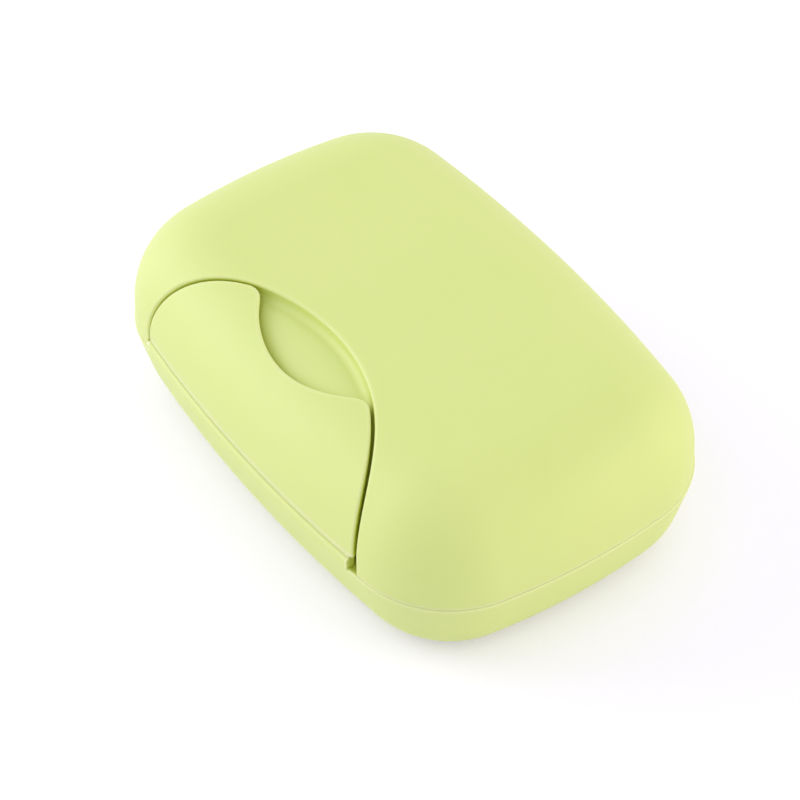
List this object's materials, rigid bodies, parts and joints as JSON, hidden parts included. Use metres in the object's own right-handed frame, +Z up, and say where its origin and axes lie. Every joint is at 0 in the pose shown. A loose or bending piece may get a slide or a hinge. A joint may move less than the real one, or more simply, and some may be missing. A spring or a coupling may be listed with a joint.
{
  "type": "travel soap box",
  "caption": "Pillow-shaped travel soap box with a rear-hinged lid, a scalloped front clasp flap in a flush pocket, a lip seal and a slotted drain tray.",
  "frame": {"origin": "middle of the flat underside, below the middle of the plan outline", "axes": "+X along the length, -Y toward the clasp, +Z up"},
  "size_m": [0.1148, 0.0811, 0.04],
  "materials": {
    "lime_pp": "injection-moulded pastel lime polypropylene, fine satin",
    "pin_steel": "drawn stainless steel wire",
    "seal_silicone": "translucent white silicone",
    "tray_pp": "injection-moulded natural white polypropylene"
  },
  "bodies": {
    "base": {"base_shell": "lime_pp", "latch_film_hinge": "lime_pp", "hinge_pin": "pin_steel", "seal_ring": "seal_silicone"},
    "lid": {"lid_shell": "lime_pp"},
    "latch": {"latch_flap": "lime_pp"},
    "tray": {"drain_tray": "tray_pp"}
  },
  "joints": [
    {"name": "lid_hinge", "type": "hinge", "parent": "base", "child": "lid", "pos_m": [0, 0.04025, 0.0182], "axis": [-1, 0, 0], "range_deg": [0, 105]},
    {"name": "latch_swing", "type": "hinge", "parent": "base", "child": "latch", "pos_m": [0, -0.03798, 0.0213], "axis": [1, 0, 0], "range_deg": [0, 100], "deforming": ["latch_film_hinge"]},
    {"name": "tray_lift", "type": "slide", "parent": "base", "child": "tray", "axis": [0, 0, 1], "range_m": [0, 0.016]}
  ]
}
